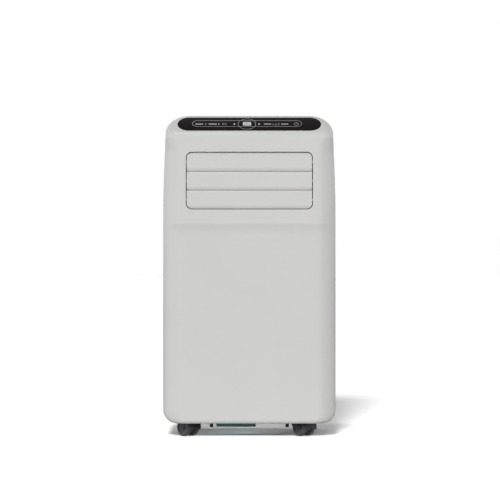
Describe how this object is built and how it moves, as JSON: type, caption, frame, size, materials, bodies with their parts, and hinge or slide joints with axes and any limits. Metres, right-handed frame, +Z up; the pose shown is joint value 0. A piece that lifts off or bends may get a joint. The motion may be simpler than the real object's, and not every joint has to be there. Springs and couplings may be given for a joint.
{
  "type": "portable air conditioner",
  "caption": "Free-standing wheeled cooling cabinet with a leaned louvre outlet, a sloping touch panel, rear intake grilles and a round exhaust port.",
  "frame": {"origin": "on the floor under the centre of the cabinet's bounding box", "axes": "+Z up, -Y towards the louvre at the front, +X to the right seen from the front"},
  "size_m": [0.345, 0.32, 0.6425],
  "materials": {
    "shell": "satin off-white moulded plastic",
    "panel": "glossy black touch panel",
    "duct": "light grey moulded plastic",
    "dark": "dark grey moulded plastic",
    "wheel": "dark grey moulded tyre and hub",
    "board": "varnished circuit board",
    "steel": "galvanised sheet steel",
    "fins": "fin stock with copper tubes",
    "foam": "white moulded plastic",
    "tank": "black enamelled steel",
    "copper": "drawn copper tube",
    "mesh": "fine plastic filter net in a frame",
    "stopper": "soft black rubber",
    "sump": "teal moulded plastic",
    "floatfoam": "orange float"
  },
  "bodies": {
    "cabinet": {"front_cover": "shell", "rear_cover": "shell", "base_pan": "dark", "sump_tray": "sump", "control_panel": "panel", "display_board": "board", "outlet_duct": "duct", "louvre_motor": "steel", "evaporator_coil": "fins", "evaporator_scroll": "duct", "evaporator_motor": "steel", "drain_deck": "foam", "condenser_coil": "fins", "condenser_scroll": "duct", "condenser_motor": "steel", "exhaust_duct": "duct", "exhaust_collar": "shell", "compressor": "tank", "accumulator": "tank", "compressor_feet": "stopper", "refrigerant_pipes": "copper", "slinger_motor": "steel", "float_switch": "dark", "control_box": "steel", "main_board": "board", "cord_gland": "dark", "base_bolts": "steel", "cover_screws": "steel"},
    "blade_1": {"blade_1": "shell"},
    "blade_2": {"blade_2": "shell"},
    "blade_3": {"blade_3": "shell"},
    "louvre_link": {"louvre_link": "dark"},
    "vane_1": {"vane_1": "duct"},
    "vane_2": {"vane_2": "duct"},
    "vane_3": {"vane_3": "duct"},
    "vane_4": {"vane_4": "duct"},
    "vane_5": {"vane_5": "duct"},
    "vane_link": {"vane_link": "dark"},
    "evaporator_wheel": {"evaporator_wheel": "foam"},
    "condenser_wheel": {"condenser_wheel": "foam"},
    "slinger_wheel": {"slinger_wheel": "foam"},
    "float": {"float": "floatfoam"},
    "upper_intake": {"upper_grille": "shell", "upper_filter": "mesh"},
    "lower_intake": {"lower_grille": "shell", "lower_filter": "mesh"},
    "upper_plug": {"upper_plug": "stopper"},
    "lower_plug": {"lower_plug": "stopper"},
    "caster_1": {"caster_1": "dark"},
    "wheel_1a": {"wheel_1a": "wheel"},
    "wheel_1b": {"wheel_1b": "wheel"},
    "caster_2": {"caster_2": "dark"},
    "wheel_2a": {"wheel_2a": "wheel"},
    "wheel_2b": {"wheel_2b": "wheel"},
    "caster_3": {"caster_3": "dark"},
    "wheel_3a": {"wheel_3a": "wheel"},
    "wheel_3b": {"wheel_3b": "wheel"},
    "caster_4": {"caster_4": "dark"},
    "wheel_4a": {"wheel_4a": "wheel"},
    "wheel_4b": {"wheel_4b": "wheel"}
  },
  "joints": [
    {"name": "blade_1_tilt", "type": "hinge", "parent": "cabinet", "child": "blade_1", "pos_m": [0, -0.14236, 0.54818], "axis": [1, 0, 0], "range_deg": [0, 75]},
    {"name": "blade_2_tilt", "type": "hinge", "parent": "cabinet", "child": "blade_2", "pos_m": [0, -0.14499, 0.51067], "axis": [1, 0, 0], "range_deg": [0, 75]},
    {"name": "blade_3_tilt", "type": "hinge", "parent": "cabinet", "child": "blade_3", "pos_m": [0, -0.14761, 0.47316], "axis": [1, 0, 0], "range_deg": [0, 75]},
    {"name": "louvre_link_turn", "type": "hinge", "parent": "blade_1", "child": "louvre_link", "pos_m": [0.106, -0.13991, 0.52595], "axis": [1, 0, 0], "range_deg": [-75, 0]},
    {"name": "vane_1_turn", "type": "hinge", "parent": "cabinet", "child": "vane_1", "pos_m": [-0.084, -0.1001, 0.50753], "axis": [0, 0.0698, 0.9976], "range_deg": [-35, 35]},
    {"name": "vane_2_turn", "type": "hinge", "parent": "cabinet", "child": "vane_2", "pos_m": [-0.042, -0.1001, 0.50753], "axis": [0, 0.0698, 0.9976], "range_deg": [-35, 35]},
    {"name": "vane_3_turn", "type": "hinge", "parent": "cabinet", "child": "vane_3", "pos_m": [0, -0.1001, 0.50753], "axis": [0, 0.0698, 0.9976], "range_deg": [-35, 35]},
    {"name": "vane_4_turn", "type": "hinge", "parent": "cabinet", "child": "vane_4", "pos_m": [0.042, -0.1001, 0.50753], "axis": [0, 0.0698, 0.9976], "range_deg": [-35, 35]},
    {"name": "vane_5_turn", "type": "hinge", "parent": "cabinet", "child": "vane_5", "pos_m": [0.084, -0.1001, 0.50753], "axis": [0, 0.0698, 0.9976], "range_deg": [-35, 35]},
    {"name": "vane_link_turn", "type": "hinge", "parent": "vane_1", "child": "vane_link", "pos_m": [-0.084, -0.0924, 0.45988], "axis": [0, 0.0698, 0.9976], "range_deg": [-35, 35]},
    {"name": "evaporator_fan_spin", "type": "hinge", "parent": "cabinet", "child": "evaporator_wheel", "pos_m": [0, 0.047, 0.39275], "axis": [0, 1, 0], "continuous": true},
    {"name": "condenser_fan_spin", "type": "hinge", "parent": "cabinet", "child": "condenser_wheel", "pos_m": [-0.06, 0.076, 0.15], "axis": [0, 1, 0], "continuous": true},
    {"name": "slinger_spin", "type": "hinge", "parent": "cabinet", "child": "slinger_wheel", "pos_m": [0.062, 0.104, 0.053], "axis": [0, 1, 0], "continuous": true},
    {"name": "float_rise", "type": "slide", "parent": "cabinet", "child": "float", "axis": [0, 0, 1], "range_m": [0, 0.02]},
    {"name": "upper_intake_pull", "type": "slide", "parent": "cabinet", "child": "upper_intake", "axis": [0, 1, 0], "range_m": [0, 0.04]},
    {"name": "lower_intake_pull", "type": "slide", "parent": "cabinet", "child": "lower_intake", "axis": [0, 1, 0], "range_m": [0, 0.04]},
    {"name": "upper_plug_pull", "type": "slide", "parent": "cabinet", "child": "upper_plug", "axis": [0, 1, 0], "range_m": [0, 0.015]},
    {"name": "lower_plug_pull", "type": "slide", "parent": "cabinet", "child": "lower_plug", "axis": [0, 1, 0], "range_m": [0, 0.015]},
    {"name": "caster_1_swivel", "type": "hinge", "parent": "cabinet", "child": "caster_1", "pos_m": [-0.116, -0.109, 0.05], "axis": [0, 0, 1], "continuous": true},
    {"name": "wheel_1a_roll", "type": "hinge", "parent": "caster_1", "child": "wheel_1a", "pos_m": [-0.13085, -0.10971, 0.0175], "axis": [0.7071, 0.7071, 0], "continuous": true},
    {"name": "wheel_1b_roll", "type": "hinge", "parent": "caster_1", "child": "wheel_1b", "pos_m": [-0.11529, -0.09415, 0.0175], "axis": [0.7071, 0.7071, 0], "continuous": true},
    {"name": "caster_2_swivel", "type": "hinge", "parent": "cabinet", "child": "caster_2", "pos_m": [0.116, -0.109, 0.05], "axis": [0, 0, 1], "continuous": true},
    {"name": "wheel_2a_roll", "type": "hinge", "parent": "caster_2", "child": "wheel_2a", "pos_m": [0.10115, -0.10971, 0.0175], "axis": [0.7071, 0.7071, 0], "continuous": true},
    {"name": "wheel_2b_roll", "type": "hinge", "parent": "caster_2", "child": "wheel_2b", "pos_m": [0.11671, -0.09415, 0.0175], "axis": [0.7071, 0.7071, 0], "continuous": true},
    {"name": "caster_3_swivel", "type": "hinge", "parent": "cabinet", "child": "caster_3", "pos_m": [-0.116, 0.109, 0.05], "axis": [0, 0, 1], "continuous": true},
    {"name": "wheel_3a_roll", "type": "hinge", "parent": "caster_3", "child": "wheel_3a", "pos_m": [-0.13085, 0.10829, 0.0175], "axis": [0.7071, 0.7071, 0], "continuous": true},
    {"name": "wheel_3b_roll", "type": "hinge", "parent": "caster_3", "child": "wheel_3b", "pos_m": [-0.11529, 0.12385, 0.0175], "axis": [0.7071, 0.7071, 0], "continuous": true},
    {"name": "caster_4_swivel", "type": "hinge", "parent": "cabinet", "child": "caster_4", "pos_m": [0.116, 0.109, 0.05], "axis": [0, 0, 1], "continuous": true},
    {"name": "wheel_4a_roll", "type": "hinge", "parent": "caster_4", "child": "wheel_4a", "pos_m": [0.10115, 0.10829, 0.0175], "axis": [0.7071, 0.7071, 0], "continuous": true},
    {"name": "wheel_4b_roll", "type": "hinge", "parent": "caster_4", "child": "wheel_4b", "pos_m": [0.11671, 0.12385, 0.0175], "axis": [0.7071, 0.7071, 0], "continuous": true}
  ],
  "couplings": [
    {"joint": "blade_2_tilt", "follows": "blade_1_tilt", "ratio": 1},
    {"joint": "blade_3_tilt", "follows": "blade_1_tilt", "ratio": 1},
    {"joint": "louvre_link_turn", "follows": "blade_1_tilt", "ratio": -1},
    {"joint": "vane_2_turn", "follows": "vane_1_turn", "ratio": 1},
    {"joint": "vane_3_turn", "follows": "vane_1_turn", "ratio": 1},
    {"joint": "vane_4_turn", "follows": "vane_1_turn", "ratio": 1},
    {"joint": "vane_5_turn", "follows": "vane_1_turn", "ratio": 1},
    {"joint": "vane_link_turn", "follows": "vane_1_turn", "ratio": -1}
  ]
}
